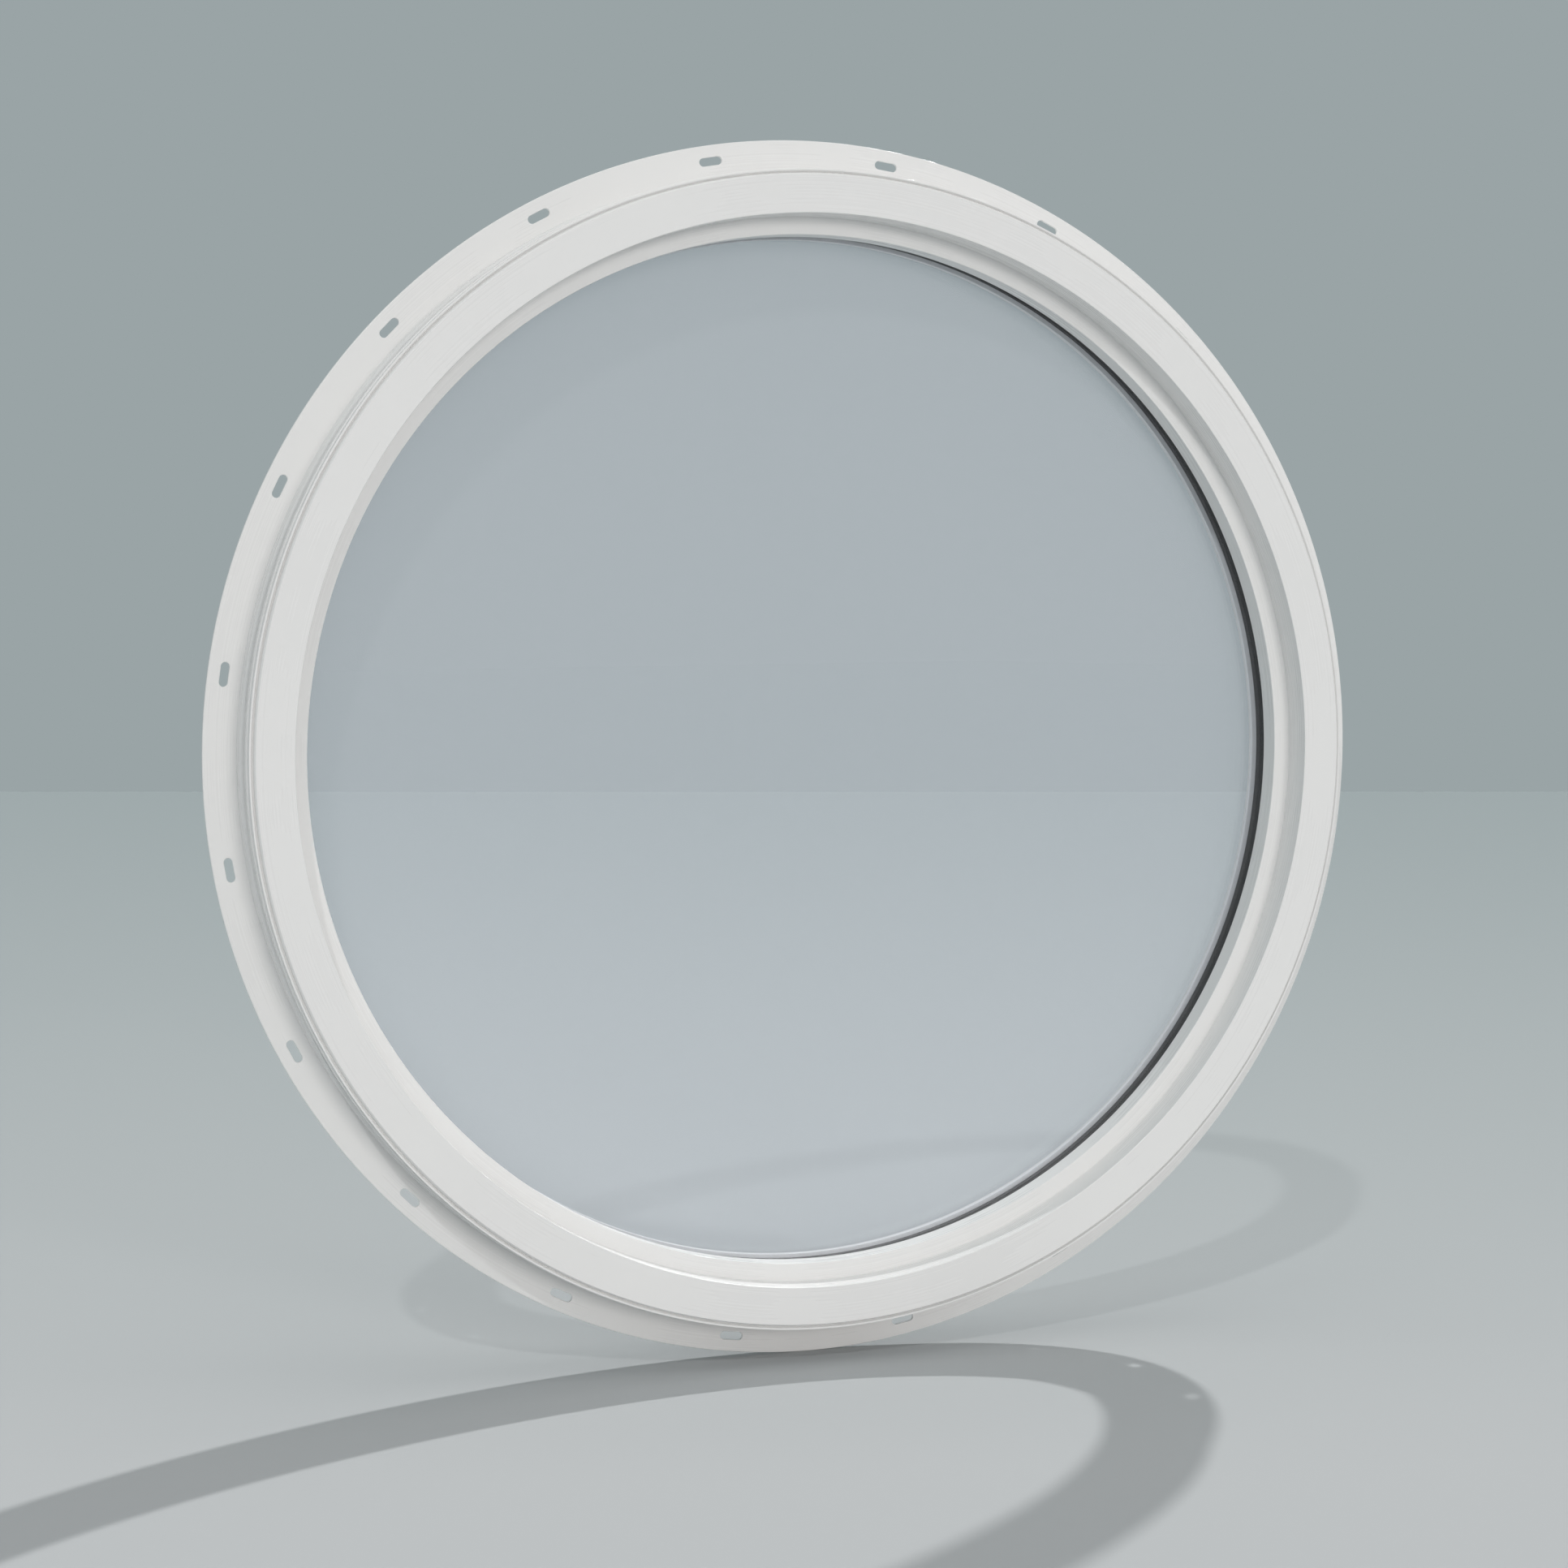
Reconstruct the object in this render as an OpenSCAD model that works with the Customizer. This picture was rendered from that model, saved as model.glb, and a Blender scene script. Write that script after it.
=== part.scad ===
// Round fixed window: a bent vinyl frame with an integral slotted nailing fin, glazed with a sealed
// double pane unit. The window's axis is Y: -Y is the exterior and +Y the interior. The origin is on
// the axis, in the plane of the fin's back face, which lies on the wall. Every ring is a section in
// (radius, depth) turned about the axis.

/* [Overall] */
// Diameter of the barrel, the part of the frame that goes inside the wall
net_d = 609.6; // [450:0.1:900]
// Depth of the frame from its broad exterior face to its interior face
frame_depth = 63.5; // [63:0.1:110]
// Depth of the barrel behind the fin, as far as the rebate for the interior trim
barrel_depth = 20; // [19.5:0.1:26]
// Distance from the back of the fin to the broad exterior face
front_proj = 32.4; // [26:0.1:42]

/* [Nailing fin] */
// Width of the fin beyond the barrel
fin_w = 19.05; // [16:0.05:32]
// Thickness of the fin
fin_t = 1.8; // [1.2:0.1:2.4]
// Number of nailing slots
slot_count = 20; // [8:1:36]
// Length of a slot, end to end
slot_l = 12.5; // [8:0.1:20]
// Width of a slot
slot_w = 4.4; // [3:0.1:6]
// Distance from the fin's outer edge to the slots' centre line
slot_inset = 8.5; // [5:0.1:9]
// Angle of the first slot above the horizontal
slot_start = 10; // [0:1:17]

/* [Frame section] */
// Thickness of the outer walls of the extrusion
wall_t = 2.0; // [1.5:0.1:2.4]
// Thickness of the webs between its chambers
web_t = 1.6; // [1.2:0.1:2]
// Radial distance from the barrel in to the inner edge of the broad face
rail_w = 22.2; // [21:0.1:30]
// Radial width of the stepped-back face around the glass
step_w = 9.4; // [7:0.1:14]
// Depth of the stepped-back face below the broad face
step_depth = 17.9; // [12:0.1:22]
// Depth of the wall between the stepped-back face and the glazing seat
leg_depth = 12.7; // [10:0.1:18]
// Width of the accessory groove in the outer wall
groove_w = 9.9; // [5:0.1:10]
// Depth of the accessory groove below the barrel's radius
groove_cut = 2.2; // [1:0.1:3]

/* [Glass unit] */
// Thickness of each pane
pane_t = 3.0; // [2.2:0.1:4]
// Gap between the panes
gap_t = 9.5; // [6:0.1:14]
// Height of the spacer in the radial direction
spacer_w = 6.4; // [5:0.1:8]
// Distance that the spacer sits back from the visible edge of the leg
spacer_set = 1.7; // [0.5:0.1:3]
// Radial overlap of the leg on the edge of the glass
bite = 12.8; // [11:0.1:18]
// Radial clearance from the edge of the glass to the floor of the pocket
edge_gap = 3.5; // [3:0.1:6]

/* [Glazing parts] */
// Thickness of the glazing tape when bedded
tape_t = 0.8; // [0.5:0.1:2]
// Width of the glazing tape
tape_w = 9.5; // [6:0.1:11]
// Thickness of the bead seal between bead and glass
seal_t = 2.0; // [1.5:0.1:3]
// Width of the bead seal
seal_w = 7.2; // [6:0.1:10]
// Depth of the glazing bead
bead_h = 12.7; // [11:0.1:15]
// Thickness of the walls of the glazing bead
bead_t = 1.5; // [1.2:0.1:1.8]
// Clearance between the bead and the frame
bead_fit = 0.3; // [0.2:0.05:0.5]

/* [Blocks] */
// Length of a setting block along the edge of the glass
setting_l = 80; // [50:1:120]
// Length of an edge block along the edge of the glass
edge_l = 50; // [30:1:80]
// Angle of the setting blocks either side of the lowest point
setting_at = 35; // [20:1:45]
// Angle of the upper edge blocks either side of the highest point
edge_at = 35; // [20:1:55]
// Clearance on each side of a block
block_fit = 0.1; // [0.05:0.05:0.3]

/* [Hidden] */
$fn = 240;
ARC_STEPS = 4;

VINYL = [0.93, 0.93, 0.925];
GLASS = [0.72, 0.80, 0.84, 0.45];
BLACK = [0.10, 0.10, 0.105];
RUBBER = [0.22, 0.22, 0.23];
SEAL = [0.88, 0.88, 0.88];

// Radii, from the barrel inwards and outwards
barrel_r = net_d / 2;
fin_r = barrel_r + fin_w;
slot_r = fin_r - slot_inset;
lip_r = barrel_r + 0.8;
ledge_r = barrel_r + 1.5;
root_r = barrel_r + 1.9;
groove_r = barrel_r - groove_cut;
rail_r = barrel_r - rail_w;
sight_r = rail_r - step_w;
glass_r = sight_r + bite;
pocket_r = glass_r + edge_gap;
spacer_r = sight_r + spacer_set;
bead_r = pocket_r - bead_fit;

// Depths, from the broad face inwards
face_y = -front_proj;
lip_y = face_y + 1.9;
ledge_y = face_y + 6.1;
groove_y = ledge_y + 3.7;
root_y = groove_y + groove_w;
step_y = face_y + step_depth;
seat_y = step_y + leg_depth;
outer_y = seat_y + tape_t;
gap_y = outer_y + pane_t;
inner_y = gap_y + gap_t;
seal_y = inner_y + pane_t;
bead_y = seal_y + seal_t;
back_y = face_y + frame_depth;

// Receiver groove for the bead's barb, in the floor of the pocket
receiver_y = bead_y + 3;
receiver_w = 3.5;
receiver_r = pocket_r + 2.5;

// Outside of the collar behind the rebate, which carries the receiver groove
collar_r = receiver_r + web_t;

// Quirk: the narrow V between the broad face and the lip, as [distance out from barrel, depth]
quirk = [[-2.3, 0], [-1.6, 1.0], [-1.1, 3.6], [-0.1, 1.9]];

// Groove in the bead that holds the root of the seal
root_at = 2.6;
root_w = 1.6;
root_depth = 1.8;
root_fit = 0.1;

function unit(v) = v / norm(v);

// A corner b between points a and c, rounded to the radius b[2], as a list of points
function corner(a, b, c) =
    let (r = is_undef(b[2]) ? 0 : b[2], p = [b.x, b.y])
    r <= 0 ? [p] :
    let (
        u = unit([a.x, a.y] - p),
        v = unit([c.x, c.y] - p),
        half = acos(u * v) / 2,
        mid = p + unit(u + v) * r / sin(half),
        s = p + u * r / tan(half) - mid,
        e = p + v * r / tan(half) - mid,
        from = atan2(s.y, s.x),
        turn = atan2(e.y, e.x) - from,
        sweep = turn > 180 ? turn - 360 : turn < -180 ? turn + 360 : turn
    )
    [for (i = [0:ARC_STEPS]) mid + r * [cos(from + sweep * i / ARC_STEPS),
                                        sin(from + sweep * i / ARC_STEPS)]];

// An outline of [radius, depth, corner radius] points as a plain list of points
function rounded(pts) =
    let (n = len(pts))
    [for (i = [0:n - 1]) each corner(pts[(i + n - 1) % n], pts[i], pts[(i + 1) % n])];

// Turns a section drawn as (radius, depth) about the window's axis
module turned(angle = 360) {
    rotate([-90, 0, 0]) rotate_extrude(angle = angle) children();
}

// A ring with a rectangular section
module ring(inner, outer, y, depth) {
    turned() translate([inner, y]) square([outer - inner, depth]);
}

// A piece of such a ring, centred on an angle measured from +X towards +Z
module arc_block(at, length, inner, outer, y, depth) {
    span = length / inner * 180 / PI;
    rotate([0, -at - span / 2, 0]) turned(span)
        translate([inner, y]) square([outer - inner, depth]);
}

// A glass disc with seamed edges
module pane(y) {
    seam = 0.5;
    turned() polygon([
        [0, y], [glass_r - seam, y], [glass_r, y + seam],
        [glass_r, y + pane_t - seam], [glass_r - seam, y + pane_t], [0, y + pane_t],
    ]);
}

// Outer boundary of the extrusion, fin included
module frame_outline() {
    polygon(rounded([
        [sight_r, step_y, 0.5],
        [sight_r, seat_y, 0.3],
        [pocket_r, seat_y],
        [pocket_r, receiver_y],
        [receiver_r, receiver_y],
        [receiver_r, receiver_y + receiver_w],
        [pocket_r, receiver_y + receiver_w],
        [pocket_r, back_y, 0.8],
        [collar_r, back_y, 0.8],
        [collar_r, barrel_depth],
        [barrel_r, barrel_depth, 0.8],
        [barrel_r, 0],
        [fin_r, 0, 0.4],
        [fin_r, -fin_t, 0.6],
        [root_r, -fin_t],
        [root_r, root_y + 1],
        [root_r - 1, root_y],
        [groove_r, root_y],
        [groove_r, groove_y],
        [ledge_r, groove_y],
        [ledge_r, ledge_y],
        [lip_r, ledge_y],
        [lip_r, lip_y],
        [barrel_r + quirk[3].x, face_y + quirk[3].y],
        [barrel_r + quirk[2].x, face_y + quirk[2].y],
        [barrel_r + quirk[1].x, face_y + quirk[1].y],
        [barrel_r + quirk[0].x, face_y + quirk[0].y],
        [rail_r, face_y, 0.5],
        [rail_r, step_y],
    ]));
}

// Chamber behind the broad face, cut back under the quirk and around the accessory groove
module front_chamber() {
    top = face_y + wall_t;
    side = lip_r - wall_t;
    inset = groove_r - wall_t;
    polygon([
        [rail_r + wall_t, top],
        [side - 3.4, top],
        [side, top + 4.4],
        [side, groove_y - wall_t],
        [inset, groove_y - wall_t],
        [inset, step_y],
        [rail_r + wall_t, step_y],
    ]);
}

// Chamber behind the stepped-back face, ending at the glazing seat
module leg_chamber() {
    inset = groove_r - wall_t;
    top = step_y + wall_t;
    wide = max(root_y, step_y) + wall_t;
    polygon([
        [sight_r + wall_t, top],
        [inset, top],
        [inset, wide],
        [barrel_r - wall_t, wide],
        [barrel_r - wall_t, seat_y - wall_t],
        [sight_r + wall_t, seat_y - wall_t],
    ]);
}

// Chamber of the barrel, which ends before both the receiver groove and the rebate
module barrel_chamber() {
    floor_r = pocket_r + wall_t;
    start = seat_y - wall_t + web_t;
    end = min(receiver_y - web_t, barrel_depth - wall_t);
    translate([floor_r, start]) square([barrel_r - wall_t - floor_r, end - start]);
}

module slot_cut() {
    straight = slot_l - slot_w;
    translate([slot_r, 1, 0]) rotate([90, 0, 0]) linear_extrude(fin_t + 2) {
        square([slot_w, straight], center = true);
        for (side = [-1, 1]) translate([0, side * straight / 2]) circle(d = slot_w, $fn = 48);
    }
}

module frame() {
    color(VINYL) difference() {
        turned() difference() {
            frame_outline();
            front_chamber();
            leg_chamber();
            barrel_chamber();
        }
        for (i = [0:slot_count - 1]) rotate([0, -slot_start - i * 360 / slot_count, 0]) slot_cut();
    }
}

// Bedding tape between the seat and the outer pane, set back out of sight
module glazing_tape() {
    set_back = 0.8;
    color(BLACK) ring(sight_r + set_back, sight_r + set_back + tape_w, seat_y, tape_t);
}

module outer_pane() {
    color(GLASS) pane(outer_y);
}

module inner_pane() {
    color(GLASS) pane(inner_y);
}

module spacer() {
    color(BLACK) ring(spacer_r, spacer_r + spacer_w, gap_y, gap_t);
}

module edge_sealant() {
    color(BLACK) ring(spacer_r + spacer_w, glass_r, gap_y, gap_t);
}

// Blocks that carry the weight of the glass unit on the floor of the pocket
module setting_blocks() {
    color(RUBBER) for (side = [-1, 1])
        arc_block(-90 + side * setting_at, setting_l,
                  glass_r + block_fit, pocket_r - block_fit, outer_y, seal_y - outer_y);
}

// Blocks that centre the glass unit, at the sides and towards the top
module edge_blocks() {
    color(RUBBER) for (at = [0, 90 - edge_at, 90 + edge_at, 180])
        arc_block(at, edge_l,
                  glass_r + block_fit, pocket_r - block_fit, outer_y, seal_y - outer_y);
}

// Flexible strip with a root that plugs into the bead
module bead_seal() {
    root = sight_r + root_at + root_fit;
    color(SEAL) turned() polygon(rounded([
        [sight_r, seal_y],
        [sight_r + seal_w, seal_y],
        [sight_r + seal_w, bead_y],
        [root + root_w - 2 * root_fit, bead_y],
        [root + root_w - 2 * root_fit, bead_y + root_depth - root_fit],
        [root, bead_y + root_depth - root_fit],
        [root, bead_y],
        [sight_r, bead_y, 0.5],
    ]));
}

// Hollow bevelled bead, held by a barb in the frame's receiver groove
module glazing_bead() {
    nose = 1.5;
    top = bead_y + bead_h;
    barb_r = receiver_r - 0.5;
    barb_y = receiver_y + receiver_w - bead_fit;
    chamber_y = bead_y + root_depth + bead_t;
    bevel = nose - bead_t * sqrt(2);
    color(VINYL) turned() difference() {
        polygon(rounded([
            [sight_r, bead_y],
            [sight_r + root_at, bead_y],
            [sight_r + root_at, bead_y + root_depth],
            [sight_r + root_at + root_w, bead_y + root_depth],
            [sight_r + root_at + root_w, bead_y],
            [bead_r, bead_y],
            [bead_r, receiver_y + bead_fit],
            [barb_r, barb_y - 1.1],
            [barb_r, barb_y],
            [bead_r, barb_y],
            [bead_r, top, 0.6],
            [sight_r + bead_h - nose, top, 0.6],
            [sight_r, bead_y + nose, 0.4],
        ]));
        polygon([
            [sight_r + chamber_y - bead_y - bevel, chamber_y],
            [bead_r - bead_t, chamber_y],
            [bead_r - bead_t, top - bead_t],
            [sight_r + bead_h - bead_t - bevel, top - bead_t],
        ]);
    }
}

frame();
glazing_tape();
outer_pane();
spacer();
edge_sealant();
inner_pane();
setting_blocks();
edge_blocks();
bead_seal();
glazing_bead();
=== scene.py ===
"""Looks for the round fixed window: a bent white vinyl frame with a slotted nailing fin, glazed with
a sealed double pane unit. The window's axis is Y, -Y is the exterior and the fin's back is at Y = 0.
Sections are lists of (radius, depth) or (radius, depth, corner radius) in millimetres."""
from math import acos, atan2, cos, pi, radians, sin, tan

import bpy
from mathutils import Euler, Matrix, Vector


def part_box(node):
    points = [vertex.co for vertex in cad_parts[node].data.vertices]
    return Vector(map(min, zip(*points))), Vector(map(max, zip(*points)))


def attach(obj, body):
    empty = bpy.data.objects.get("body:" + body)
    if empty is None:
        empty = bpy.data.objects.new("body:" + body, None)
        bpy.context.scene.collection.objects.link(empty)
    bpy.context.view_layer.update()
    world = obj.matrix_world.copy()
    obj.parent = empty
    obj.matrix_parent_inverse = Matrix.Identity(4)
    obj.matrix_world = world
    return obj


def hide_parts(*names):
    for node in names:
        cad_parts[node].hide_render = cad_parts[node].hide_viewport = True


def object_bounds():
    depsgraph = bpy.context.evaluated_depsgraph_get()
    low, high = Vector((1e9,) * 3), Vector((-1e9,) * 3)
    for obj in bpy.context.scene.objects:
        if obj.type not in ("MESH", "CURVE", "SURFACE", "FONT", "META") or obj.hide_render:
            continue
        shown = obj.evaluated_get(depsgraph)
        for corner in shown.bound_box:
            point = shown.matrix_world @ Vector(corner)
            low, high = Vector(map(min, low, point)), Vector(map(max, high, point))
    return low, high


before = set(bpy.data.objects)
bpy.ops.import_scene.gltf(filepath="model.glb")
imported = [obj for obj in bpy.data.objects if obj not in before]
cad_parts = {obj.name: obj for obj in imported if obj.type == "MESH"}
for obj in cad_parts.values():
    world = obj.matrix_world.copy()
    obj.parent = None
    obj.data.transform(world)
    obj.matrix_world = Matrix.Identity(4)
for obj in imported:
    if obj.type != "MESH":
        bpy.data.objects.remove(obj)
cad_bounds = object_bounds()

MM = 0.001

# Colours, as linear red, green and blue
WHITE = (0.84, 0.835, 0.825)
VINYL_DARK = (0.82, 0.816, 0.807)
CLEAR = (0.97, 0.98, 1.0)
GREEN_EDGE = (0.55, 0.82, 0.74)
SPACER_DARK = (0.011, 0.011, 0.012)
SPACER_LIGHT = (0.019, 0.019, 0.020)
BUTYL_DARK = (0.014, 0.014, 0.015)
BUTYL_LIGHT = (0.034, 0.034, 0.035)
FOAM_DARK = (0.020, 0.020, 0.022)
FOAM_LIGHT = (0.050, 0.050, 0.052)
RUBBER_DARK = (0.060, 0.060, 0.063)
RUBBER_LIGHT = (0.115, 0.115, 0.118)
SEAL_DARK = (0.91, 0.92, 0.925)
SEAL_LIGHT = (0.94, 0.945, 0.95)
FLOOR_NEAR = (0.505, 0.515, 0.52)
# The far floor colour is painted shade: the floor darkens with distance, standing in for light falloff
FLOOR_FAR_PAINTED_SHADE = (0.385, 0.428, 0.433)
WARM = (1.0, 0.95, 0.92)
PLAIN = (1.0, 1.0, 1.0)
DOME_FRONT = (0.48, 0.50, 0.51)
DOME_BACK = (0.323, 0.371, 0.381)

# Studio dome: its darker side lies behind the window and to its left
DOME_DARK = (-0.5, 0.87, 0)
DOME_START = -0.7
DOME_END = 0.44

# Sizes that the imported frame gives, in millimetres
FIN_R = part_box("frame")[1].x / MM
FACE_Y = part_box("frame")[0].y / MM
BACK_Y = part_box("frame")[1].y / MM
GLASS_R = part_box("outer_pane")[1].x / MM
SPACER_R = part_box("spacer")[1].x / MM
GAP_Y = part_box("spacer")[0].y / MM
GAP_END_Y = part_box("spacer")[1].y / MM
SEAL_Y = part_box("bead_seal")[0].y / MM
SEAL_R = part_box("bead_seal")[1].x / MM
SEAL_ROOT_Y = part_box("bead_seal")[1].y / MM
BEAD_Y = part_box("glazing_bead")[0].y / MM
BEAD_END_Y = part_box("glazing_bead")[1].y / MM
BARB_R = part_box("glazing_bead")[1].x / MM
FLOOR_Z = cad_bounds[0].z

# Sizes of the frame's section, in millimetres
FIN_W = 19.05
FIN_T = 1.8
RAIL_W = 22.2
STEP_W = 9.4
STEP_DEPTH = 17.9
LEG_DEPTH = 12.7
EDGE_GAP = 3.5
BARREL_DEPTH = 20.0
RECEIVER_IN = 3.0
RECEIVER_W = 3.5
RECEIVER_DEPTH = 2.5
COLLAR_T = 1.6

# Outer wall between fin and face: heights above the barrel's radius, and widths along Y
LIP_H = 1.9
LIP_BEVEL = 1.0
GROOVE_DEPTH = 2.2
GROOVE_W = 9.9
LEDGE_H = 1.5
LEDGE_W = 3.7
NECK_H = 0.8
NECK_W = 6.1

# Quirk at the face's outer edge: distances inside the barrel's radius, and behind the face
QUIRK_EDGE_IN = 0.1
QUIRK_EDGE_Y = 1.9
QUIRK_ROOT_IN = 1.1
QUIRK_ROOT_Y = 3.6
SHOULDER_IN = 1.6
SHOULDER_Y = 1.0
FACE_EDGE_IN = 2.3

# Sizes of the bead, its seal and the spacer
BEAD_FIT = 0.3
BEAD_NOSE = 1.5
BEAD_NECK = 3.3
BARB_RAMP = 1.1
SEAL_SLOT_IN = 2.6
SEAL_SLOT_OUT = 4.2
SEAL_SLOT_DEPTH = 1.8
SEAL_ROOT_FIT = 0.1
SPACER_W = 6.4
SEAM_HALF_W = 0.45
SEAM_DEPTH = 0.35
GLASS_SKIN = 0.04    # clearance from faces that touch the glass, so that rays leave it cleanly
EDGE_TINT_W = 2.0    # how far the panes' green edge reaches in

BARREL_R = FIN_R - FIN_W
RAIL_R = BARREL_R - RAIL_W
SIGHT_R = RAIL_R - STEP_W
POCKET_R = GLASS_R + EDGE_GAP
BEAD_R = POCKET_R - BEAD_FIT
RECEIVER_R = POCKET_R + RECEIVER_DEPTH
COLLAR_R = RECEIVER_R + COLLAR_T
STEP_Y = FACE_Y + STEP_DEPTH
SEAT_Y = STEP_Y + LEG_DEPTH
RECEIVER_Y = BEAD_Y + RECEIVER_IN
RECEIVER_END_Y = RECEIVER_Y + RECEIVER_W

SLOT_COUNT = 20
SLOT_L = 12.5
SLOT_W = 4.4
SLOT_INSET = 8.5
SLOT_R = FIN_R - SLOT_INSET
SLOT_START = 10.0    # degrees
SLOT_CHAMFER = 0.25
CUT_REACH = 1.0      # how far the slot cutters stand out of the fin

TURN_STEPS = 480
ARC_STEPS = 3


# Sections and meshes

def corner(a, b, c):
    """The corner b between points a and c, rounded to the radius b[2], as a list of points."""
    p = Vector(b[:2])
    r = b[2] if len(b) > 2 else 0
    if r <= 0:
        return [p]
    u = (Vector(a[:2]) - p).normalized()
    v = (Vector(c[:2]) - p).normalized()
    half = acos(max(-1, min(1, u.dot(v)))) / 2
    mid = p + (u + v).normalized() * r / sin(half)
    start = p + u * r / tan(half) - mid
    end = p + v * r / tan(half) - mid
    first = atan2(start.y, start.x)
    sweep = atan2(end.y, end.x) - first
    if sweep > pi:
        sweep -= 2 * pi
    if sweep < -pi:
        sweep += 2 * pi
    angles = [first + sweep * i / ARC_STEPS for i in range(ARC_STEPS + 1)]
    return [mid + r * Vector((cos(t), sin(t))) for t in angles]


def rounded(points):
    """An outline with its corners rounded, as a list of (radius, depth)."""
    n = len(points)
    return [q for i in range(n) for q in corner(points[i - 1], points[i], points[(i + 1) % n])]


def mesh_object(name, verts, faces):
    mesh = bpy.data.meshes.new(name)
    mesh.from_pydata(verts, [], faces)
    mesh.update()
    obj = bpy.data.objects.new(name, mesh)
    bpy.context.scene.collection.objects.link(obj)
    return obj


def turned(name, outline):
    """A closed ring: the outline turned about Y, with its faces pointing out of the solid."""
    count = len(outline)
    area = sum(a.x * b.y - b.x * a.y for a, b in zip(outline, outline[1:] + outline[:1]))
    order = outline if area > 0 else outline[::-1]
    verts = []
    for i in range(TURN_STEPS):
        t = 2 * pi * i / TURN_STEPS
        verts += [(p.x * MM * cos(t), p.y * MM, p.x * MM * sin(t)) for p in order]
    faces = []
    for i in range(TURN_STEPS):
        here, there = i * count, (i + 1) % TURN_STEPS * count
        for j in range(count):
            k = (j + 1) % count
            faces.append((here + j, here + k, there + k, there + j))
    return mesh_object(name, verts, faces)


def obround(length, width, steps=10):
    """Points around a slot that is long in its second coordinate."""
    straight = (length - width) / 2
    points = []
    for side in (1, -1):
        for i in range(steps + 1):
            t = pi * i / steps
            points.append((side * width / 2 * cos(t), side * (straight + width / 2 * sin(t))))
    return points


def slot_cutters():
    """One mesh with a cutter for each nailing slot, flared at both faces of the fin."""
    layers = [
        (-FIN_T - CUT_REACH, SLOT_CHAMFER), (-FIN_T, SLOT_CHAMFER), (-FIN_T + SLOT_CHAMFER, 0),
        (-SLOT_CHAMFER, 0), (0, SLOT_CHAMFER), (CUT_REACH, SLOT_CHAMFER),
    ]
    verts, faces = [], []
    for i in range(SLOT_COUNT):
        t = radians(SLOT_START + 360 / SLOT_COUNT * i)
        base = len(verts)
        for y, grow in layers:
            ring = obround(SLOT_L + 2 * grow, SLOT_W + 2 * grow)
            for across, along in ring:
                r = SLOT_R + across
                x = r * cos(t) - along * sin(t)
                z = r * sin(t) + along * cos(t)
                verts.append((MM * x, MM * y, MM * z))
        n = len(ring)
        for k in range(len(layers) - 1):
            for j in range(n):
                a, b = base + k * n + j, base + k * n + (j + 1) % n
                faces.append((a, a + n, b + n, b))
        faces.append(tuple(base + j for j in range(n)))
        faces.append(tuple(base + (len(layers) - 1) * n + j for j in reversed(range(n))))
    return mesh_object("slot_cutters", verts, faces)


def cut(obj, cutter):
    """Takes the cutter's solids out of obj, and removes the cutter."""
    boolean = obj.modifiers.new("cut", "BOOLEAN")
    boolean.operation = "DIFFERENCE"
    boolean.solver = "EXACT"
    boolean.object = cutter
    graph = bpy.context.evaluated_depsgraph_get()
    mesh = bpy.data.meshes.new_from_object(obj.evaluated_get(graph))
    obj.modifiers.clear()
    obj.data = mesh
    bpy.data.objects.remove(cutter)


def smooth(obj, angle=30):
    """Smooth shading with sharp edges kept, weighted so that flat faces stay flat beside fillets."""
    for face in obj.data.polygons:
        face.use_smooth = True
    obj.data.set_sharp_from_angle(angle=radians(angle))
    weighted = obj.modifiers.new("weighted", "WEIGHTED_NORMAL")
    weighted.keep_sharp = True


def dress(obj, node, mat):
    """Puts a modelled piece in place of its CAD node."""
    obj.data.materials.append(mat)
    smooth(obj)
    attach(obj, "root")
    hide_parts(node)


# Pieces

def frame_section():
    """Outer boundary of the extrusion: leg, pocket, collar, barrel, fin, accessory groove, quirk
    and face."""
    ledge_y = FACE_Y + NECK_W
    groove_y = ledge_y + LEDGE_W
    root_y = groove_y + GROOVE_W
    return rounded([
        (SIGHT_R, STEP_Y, 0.5),
        (SIGHT_R, SEAT_Y, 0.3),
        (POCKET_R, SEAT_Y),
        (POCKET_R, RECEIVER_Y, 0.2),
        (RECEIVER_R, RECEIVER_Y),
        (RECEIVER_R, RECEIVER_END_Y),
        (POCKET_R, RECEIVER_END_Y, 0.2),
        (POCKET_R, BACK_Y, 0.8),
        (COLLAR_R, BACK_Y, 0.8),
        (COLLAR_R, BARREL_DEPTH, 0.3),
        (BARREL_R, BARREL_DEPTH, 0.8),
        (BARREL_R, 0, 0.3),
        (FIN_R, 0, 0.4),
        (FIN_R, -FIN_T, 0.6),
        (BARREL_R + LIP_H, -FIN_T, 0.4),
        (BARREL_R + LIP_H, root_y + LIP_BEVEL, 0.2),
        (BARREL_R + LIP_H - LIP_BEVEL, root_y, 0.2),
        (BARREL_R - GROOVE_DEPTH, root_y, 0.2),
        (BARREL_R - GROOVE_DEPTH, groove_y, 0.2),
        (BARREL_R + LEDGE_H, groove_y, 0.3),
        (BARREL_R + LEDGE_H, ledge_y, 0.3),
        (BARREL_R + NECK_H, ledge_y, 0.15),
        (BARREL_R + NECK_H, FACE_Y + QUIRK_EDGE_Y, 0.2),
        (BARREL_R - QUIRK_EDGE_IN, FACE_Y + QUIRK_EDGE_Y, 0.2),
        (BARREL_R - QUIRK_ROOT_IN, FACE_Y + QUIRK_ROOT_Y, 0.15),
        (BARREL_R - SHOULDER_IN, FACE_Y + SHOULDER_Y, 0.2),
        (BARREL_R - FACE_EDGE_IN, FACE_Y, 0.3),
        (RAIL_R, FACE_Y, 0.5),
        (RAIL_R, STEP_Y, 0.2),
    ])


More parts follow.
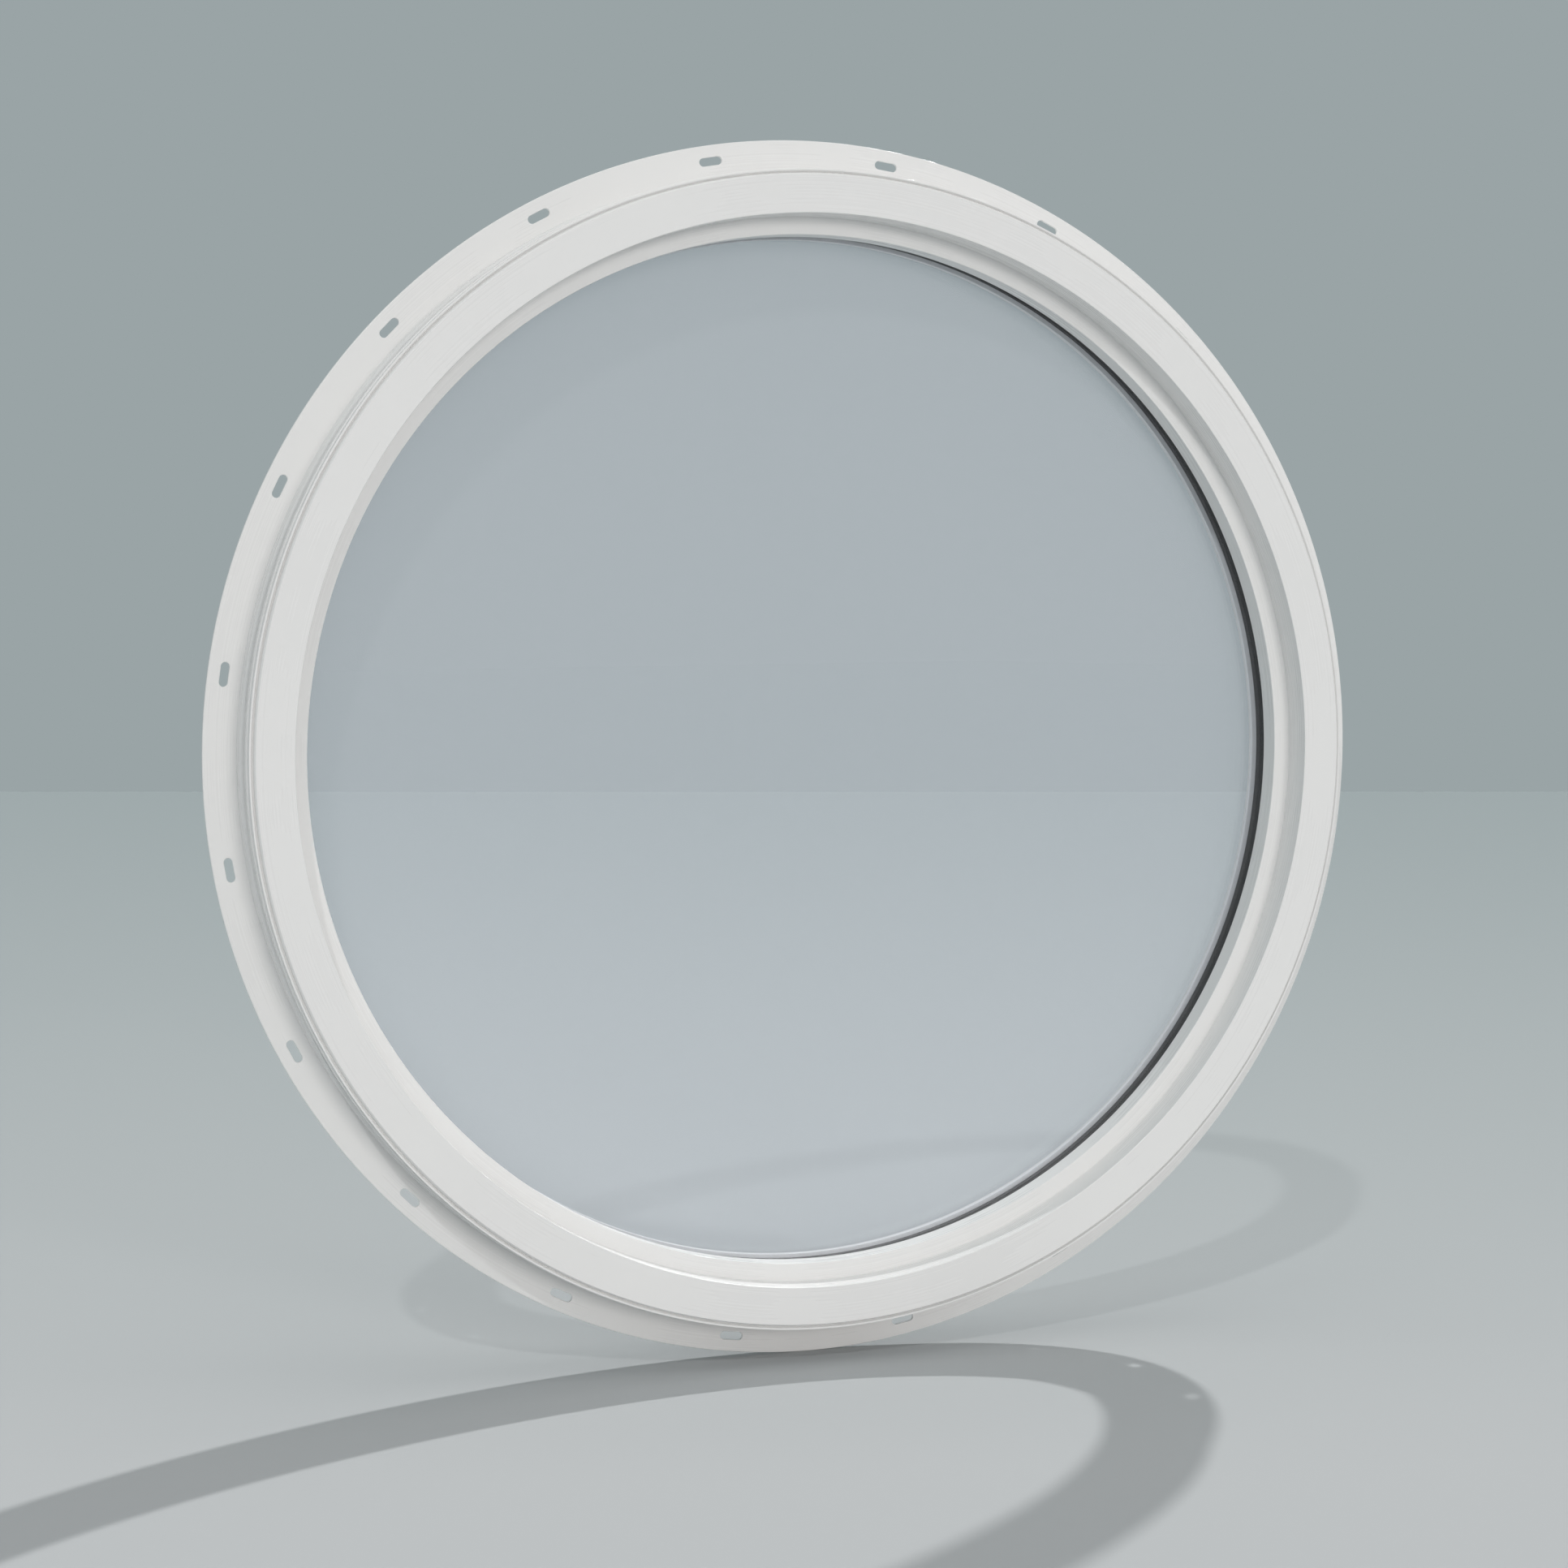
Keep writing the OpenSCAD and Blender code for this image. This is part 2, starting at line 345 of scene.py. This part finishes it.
def bead_section():
    """The bevelled bead, with its seal groove and its barb."""
    rise = BEAD_END_Y - BEAD_Y
    barb_y = RECEIVER_END_Y - BEAD_FIT
    return rounded([
        (SIGHT_R, BEAD_Y, 0.2),
        (SIGHT_R + SEAL_SLOT_IN, BEAD_Y, 0.15),
        (SIGHT_R + SEAL_SLOT_IN, BEAD_Y + SEAL_SLOT_DEPTH),
        (SIGHT_R + SEAL_SLOT_OUT, BEAD_Y + SEAL_SLOT_DEPTH),
        (SIGHT_R + SEAL_SLOT_OUT, BEAD_Y, 0.15),
        (BEAD_R, BEAD_Y, 0.3),
        (BEAD_R, BEAD_Y + BEAD_NECK, 0.2),
        (BARB_R, barb_y - BARB_RAMP, 0.2),
        (BARB_R, barb_y, 0.15),
        (BEAD_R, barb_y, 0.2),
        (BEAD_R, BEAD_END_Y, 0.6),
        (SIGHT_R + rise - BEAD_NOSE, BEAD_END_Y, 0.6),
        (SIGHT_R, BEAD_Y + BEAD_NOSE, 0.4),
    ])


def seal_section():
    """The flexible strip between bead and glass, with a rounded lip and a root."""
    front = SEAL_Y + GLASS_SKIN
    root_in = SIGHT_R + SEAL_SLOT_IN + SEAL_ROOT_FIT
    root_out = SIGHT_R + SEAL_SLOT_OUT - SEAL_ROOT_FIT
    return rounded([
        (SIGHT_R, front, 0.3),
        (SEAL_R, front, 0.3),
        (SEAL_R, BEAD_Y, 0.3),
        (root_out, BEAD_Y, 0.1),
        (root_out, SEAL_ROOT_Y, 0.4),
        (root_in, SEAL_ROOT_Y, 0.4),
        (root_in, BEAD_Y, 0.1),
        (SIGHT_R, BEAD_Y, 0.5),
    ])


def spacer_section():
    """The spacer bar: corners rounded off beside the glass and a rolled seam in the sight face."""
    sight = SPACER_R - SPACER_W
    mid = (GAP_Y + GAP_END_Y) / 2
    front = GAP_Y + GLASS_SKIN
    back = GAP_END_Y - GLASS_SKIN
    return rounded([
        (sight, front, 0.3),
        (SPACER_R, front, 0.3),
        (SPACER_R, back, 0.3),
        (sight, back, 0.3),
        (sight, mid + SEAM_HALF_W, 0.15),
        (sight + SEAM_DEPTH, mid, 0.1),
        (sight, mid - SEAM_HALF_W, 0.15),
    ])


# Camera and stage

CAMERA_AT = (-0.5996, -1.6297, 0.0805)    # metres
CAMERA_YAW = 19.787                       # degrees to the right of +Y
CAMERA_PITCH = -3.22                      # degrees above the level
LENS = 74.54
SENSOR = 36.0
CLIP_END = 100

# Floor, in metres from the camera: its far edge, and where its painted shade stops growing paler
FLOOR_REACH = 6.9
FLOOR_CLOSE = 1.5
FLOOR_LENGTH = 20
FLOOR_HALF_W = 14


def add_camera():
    data = bpy.data.cameras.new("camera")
    data.lens = LENS
    data.sensor_width = SENSOR
    data.clip_end = CLIP_END
    camera = bpy.data.objects.new("camera", data)
    camera.location = CAMERA_AT
    camera.rotation_euler = Euler((radians(90 + CAMERA_PITCH), 0, radians(-CAMERA_YAW)))
    bpy.context.scene.collection.objects.link(camera)
    bpy.context.scene.camera = camera


def add_floor():
    """A plain floor whose far edge lies square to the camera's view."""
    toward = Vector((sin(radians(CAMERA_YAW)), cos(radians(CAMERA_YAW)), 0))
    side = Vector((toward.y, -toward.x, 0)) * FLOOR_HALF_W
    far = Vector(CAMERA_AT) + toward * FLOOR_REACH
    near = far - toward * FLOOR_LENGTH
    corners = [near - side, near + side, far + side, far - side]
    floor = mesh_object("floor", [(p.x, p.y, FLOOR_Z) for p in corners], [(0, 1, 2, 3)])
    floor.data.materials.append(floor_finish(toward, far.dot(toward)))


def add_lamp(lamp, mirrored):
    """Adds a lamp that is not seen directly or through glass, nor mirrored unless asked for."""
    lamp.visible_camera = False
    lamp.visible_glossy = mirrored
    lamp.visible_transmission = False
    bpy.context.scene.collection.objects.link(lamp)


def add_sun(name, direction, strength, angle, colour, mirrored):
    """A distant lamp that shines along a direction, as wide as the angle in degrees."""
    data = bpy.data.lights.new(name, "SUN")
    data.energy = strength
    data.angle = radians(angle)
    data.color = colour
    lamp = bpy.data.objects.new(name, data)
    lamp.rotation_euler = Vector(direction).to_track_quat("-Z", "Y").to_euler()
    add_lamp(lamp, mirrored)


def add_fill(name, direction, distance, size, power):
    """A square soft box that shines along a direction onto the window."""
    data = bpy.data.lights.new(name, "AREA")
    data.shape = "SQUARE"
    data.size = size
    data.energy = power
    data.color = WARM
    lamp = bpy.data.objects.new(name, data)
    along = Vector(direction).normalized()
    lamp.location = -along * distance
    lamp.rotation_euler = along.to_track_quat("-Z", "Y").to_euler()
    add_lamp(lamp, True)


def add_world():
    """A soft studio dome, lighter in front of the window and to its right than behind and to its left."""
    world = bpy.data.worlds.new("studio")
    world.use_nodes = True
    tree = world.node_tree
    coord = tree.nodes.new("ShaderNodeTexCoord")
    dot = tree.nodes.new("ShaderNodeVectorMath")
    dot.operation = "DOT_PRODUCT"
    dot.inputs[1].default_value = DOME_DARK
    tree.links.new(coord.outputs["Generated"], dot.inputs[0])
    darkness = spread(tree, dot.outputs["Value"], 0, 1, DOME_START, DOME_END)
    colour = ramp(tree, darkness, DOME_FRONT, DOME_BACK)
    tree.links.new(colour, tree.nodes["Background"].inputs["Color"])
    bpy.context.scene.world = world


def add_lights():
    add_world()
    add_sun("front_key", direction=(0.60, 0.96, -1), strength=0.42, angle=1.5,
            colour=PLAIN, mirrored=True)
    add_sun("back_key", direction=(-0.724, -0.873, -1), strength=1.75, angle=1.5,
            colour=PLAIN, mirrored=True)
    add_sun("front_fill", direction=(-0.10, 1, -0.18), strength=0.88, angle=20,
            colour=WARM, mirrored=False)
    add_fill("top_fill", direction=(0, 0.1, -1), distance=3, size=2.5, power=14)


# Node helpers

def node_material(name, colour, roughness):
    mat = bpy.data.materials.new(name)
    mat.use_nodes = True
    shader = mat.node_tree.nodes["Principled BSDF"]
    shader.inputs["Base Color"].default_value = (*colour, 1)
    shader.inputs["Roughness"].default_value = roughness
    return mat, mat.node_tree, shader


def object_coords(tree):
    return tree.nodes.new("ShaderNodeTexCoord").outputs["Object"]


def radius_and_depth(tree):
    """The distance from the window's axis, and the vector (radius, depth, 0)."""
    coords = object_coords(tree)
    flat = tree.nodes.new("ShaderNodeVectorMath")
    flat.operation = "MULTIPLY"
    flat.inputs[1].default_value = (1, 0, 1)
    tree.links.new(coords, flat.inputs[0])
    length = tree.nodes.new("ShaderNodeVectorMath")
    length.operation = "LENGTH"
    tree.links.new(flat.outputs["Vector"], length.inputs[0])
    axes = tree.nodes.new("ShaderNodeSeparateXYZ")
    tree.links.new(coords, axes.inputs["Vector"])
    both = tree.nodes.new("ShaderNodeCombineXYZ")
    tree.links.new(length.outputs["Value"], both.inputs["X"])
    tree.links.new(axes.outputs["Y"], both.inputs["Y"])
    return length.outputs["Value"], both.outputs["Vector"]


def noise(tree, coords, scale, detail=2.0):
    tex = tree.nodes.new("ShaderNodeTexNoise")
    tex.inputs["Scale"].default_value = scale
    tex.inputs["Detail"].default_value = detail
    tree.links.new(coords, tex.inputs["Vector"])
    return tex.outputs["Fac"]


def spread(tree, value, low, high, start=0.3, end=0.7):
    """Maps start..end of a value onto low..high."""
    node = tree.nodes.new("ShaderNodeMapRange")
    node.inputs["From Min"].default_value = start
    node.inputs["From Max"].default_value = end
    node.inputs["To Min"].default_value = low
    node.inputs["To Max"].default_value = high
    tree.links.new(value, node.inputs["Value"])
    return node.outputs["Result"]


def math(tree, operation, value, number):
    """The result of an operation on a value and a fixed number."""
    node = tree.nodes.new("ShaderNodeMath")
    node.operation = operation
    node.inputs[1].default_value = number
    tree.links.new(value, node.inputs[0])
    return node.outputs["Value"]


def blend(tree, a, b, share):
    """A mixture of two values, with the given share of the second."""
    node = tree.nodes.new("ShaderNodeMix")
    node.inputs["Factor"].default_value = share
    tree.links.new(a, node.inputs["A"])
    tree.links.new(b, node.inputs["B"])
    return node.outputs["Result"]


def ramp(tree, value, first, last):
    """A colour that runs from first at 0 to last at 1."""
    node = tree.nodes.new("ShaderNodeValToRGB")
    node.color_ramp.elements[0].color = (*first, 1)
    node.color_ramp.elements[1].color = (*last, 1)
    tree.links.new(value, node.inputs["Fac"])
    return node.outputs["Color"]


def bump(tree, shader, height, strength, depth):
    """Relief of the given depth in millimetres."""
    node = tree.nodes.new("ShaderNodeBump")
    node.inputs["Strength"].default_value = strength
    node.inputs["Distance"].default_value = depth * MM
    tree.links.new(height, node.inputs["Height"])
    tree.links.new(node.outputs["Normal"], shader.inputs["Normal"])


def shade(tree, shader, mottle, dark, light, rough_from, low, high):
    """Colour and roughness that vary with two textures."""
    tree.links.new(ramp(tree, spread(tree, mottle, 0, 1), dark, light), shader.inputs["Base Color"])
    tree.links.new(spread(tree, rough_from, low, high), shader.inputs["Roughness"])


# Finishes

def floor_finish(toward, far):
    """Pale matt floor with painted shade: its colour grows a little darker towards its far edge, in place
    of the light falling off away from the lamps. The far edge lies at the distance far along the
    direction toward."""
    mat, tree, shader = node_material("floor", FLOOR_NEAR, 1.0)
    shader.inputs["Specular IOR Level"].default_value = 0
    dot = tree.nodes.new("ShaderNodeVectorMath")
    dot.operation = "DOT_PRODUCT"
    dot.inputs[1].default_value = toward
    tree.links.new(object_coords(tree), dot.inputs[0])
    # Painted shade: the colour darkens with distance from the camera, standing in for light falling off
    reach = math(tree, "ADD", dot.outputs["Value"], FLOOR_REACH - far)
    inverse = math(tree, "POWER", math(tree, "MAXIMUM", reach, FLOOR_CLOSE), -1)
    nearness = spread(tree, inverse, 0, 1, 1 / FLOOR_REACH, 1 / FLOOR_CLOSE)
    colour = ramp(tree, nearness, FLOOR_FAR_PAINTED_SHADE, FLOOR_NEAR)
    tree.links.new(colour, shader.inputs["Base Color"])
    return mat


def vinyl():
    """Extruded rigid vinyl: satin white, with faint die lines that run round the ring."""
    mat, tree, shader = node_material("white_vinyl", WHITE, 0.36)
    coords = object_coords(tree)
    ring = radius_and_depth(tree)[1]
    lines = noise(tree, ring, 1100)
    mottle = noise(tree, coords, 14, 3)
    grain = noise(tree, coords, 1600, 1)
    gloss = blend(tree, lines, mottle, 0.6)
    shade(tree, shader, blend(tree, mottle, lines, 0.15), VINYL_DARK, WHITE, gloss, 0.24, 0.32)
    bump(tree, shader, blend(tree, lines, grain, 0.6), 0.06, 0.02)
    return mat


def glass(name, film):
    """Clear float glass that lamps shine through, greener at its ground edge.
    film is the share of light that its faint pale coating scatters."""
    mat, tree, shader = node_material(name, CLEAR, 0.0)
    coords = object_coords(tree)
    radius = radius_and_depth(tree)[0]
    edge = spread(tree, radius, 0, 1, (GLASS_R - EDGE_TINT_W) * MM, GLASS_R * MM)
    tree.links.new(ramp(tree, edge, CLEAR, GREEN_EDGE), shader.inputs["Base Color"])
    waves = noise(tree, coords, 5, 1)
    tree.links.new(spread(tree, waves, 0.0, 0.012), shader.inputs["Roughness"])
    bump(tree, shader, waves, 0.02, 0.02)
    shader.inputs["IOR"].default_value = 1.5
    shader.inputs["Transmission Weight"].default_value = 1 - film
    path = tree.nodes.new("ShaderNodeLightPath")
    passing = tree.nodes.new("ShaderNodeMath")
    passing.operation = "MAXIMUM"
    tree.links.new(path.outputs["Is Shadow Ray"], passing.inputs[0])
    tree.links.new(path.outputs["Is Diffuse Ray"], passing.inputs[1])
    clear = tree.nodes.new("ShaderNodeBsdfTransparent")
    mix = tree.nodes.new("ShaderNodeMixShader")
    tree.links.new(passing.outputs["Value"], mix.inputs["Fac"])
    tree.links.new(shader.outputs["BSDF"], mix.inputs[1])
    tree.links.new(clear.outputs["BSDF"], mix.inputs[2])
    tree.links.new(mix.outputs["Shader"], tree.nodes["Material Output"].inputs["Surface"])
    return mat


def warm_edge():
    """Black spacer bar with a fine matt grain."""
    mat, tree, shader = node_material("spacer_black", SPACER_DARK, 0.6)
    coords = object_coords(tree)
    grain = noise(tree, coords, 1500)
    mottle = noise(tree, coords, 40)
    shade(tree, shader, mottle, SPACER_DARK, SPACER_LIGHT, grain, 0.55, 0.75)
    bump(tree, shader, grain, 0.3, 0.03)
    return mat


def butyl():
    """Pumped black sealant, slightly lumpy."""
    mat, tree, shader = node_material("sealant_black", BUTYL_DARK, 0.5)
    coords = object_coords(tree)
    lumps = noise(tree, coords, 220, 3)
    mottle = noise(tree, coords, 60)
    shade(tree, shader, mottle, BUTYL_DARK, BUTYL_LIGHT, lumps, 0.35, 0.65)
    bump(tree, shader, lumps, 0.5, 0.2)
    return mat


def foam():
    """Dark foam tape with open cells."""
    mat, tree, shader = node_material("foam_tape", FOAM_DARK, 0.9)
    coords = object_coords(tree)
    cells = tree.nodes.new("ShaderNodeTexVoronoi")
    cells.inputs["Scale"].default_value = 1400
    tree.links.new(coords, cells.inputs["Vector"])
    pores = cells.outputs["Distance"]
    wear = noise(tree, coords, 300)
    shade(tree, shader, pores, FOAM_DARK, FOAM_LIGHT, wear, 0.8, 0.95)
    bump(tree, shader, pores, 0.6, 0.15)
    return mat


def rubber():
    """Dark grey moulded block with a dusty bloom."""
    mat, tree, shader = node_material("block_rubber", RUBBER_DARK, 0.7)
    coords = object_coords(tree)
    bloom = noise(tree, coords, 90, 4)
    grain = noise(tree, coords, 1200)
    shade(tree, shader, bloom, RUBBER_DARK, RUBBER_LIGHT, grain, 0.6, 0.8)
    bump(tree, shader, grain, 0.4, 0.05)
    return mat


def pale_strip():
    """Flexible near-white strip, softer and more matt than the vinyl."""
    mat, tree, shader = node_material("pale_seal", SEAL_LIGHT, 0.55)
    coords = object_coords(tree)
    lines = noise(tree, radius_and_depth(tree)[1], 1500)
    mottle = noise(tree, coords, 30, 3)
    shade(tree, shader, mottle, SEAL_DARK, SEAL_LIGHT, lines, 0.45, 0.6)
    bump(tree, shader, blend(tree, lines, noise(tree, coords, 1300), 0.5), 0.15, 0.03)
    return mat


def finish(node, mat):
    """Gives a kept CAD node its material."""
    for material_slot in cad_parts[node].material_slots:
        material_slot.material = mat


add_camera()
add_floor()
add_lights()

white = vinyl()
window_frame = turned("window_frame", frame_section())
cut(window_frame, slot_cutters())
dress(window_frame, "frame", white)
dress(turned("interior_bead", bead_section()), "glazing_bead", white)
dress(turned("bead_gasket", seal_section()), "bead_seal", pale_strip())
dress(turned("spacer_bar", spacer_section()), "spacer", warm_edge())
finish("outer_pane", glass("outer_glass", 0.0))
finish("inner_pane", glass("inner_glass", 0.10))
finish("edge_sealant", butyl())
finish("glazing_tape", foam())
block_rubber = rubber()
finish("setting_blocks", block_rubber)
finish("edge_blocks", block_rubber)

bpy.context.scene.view_settings.view_transform = "Standard"
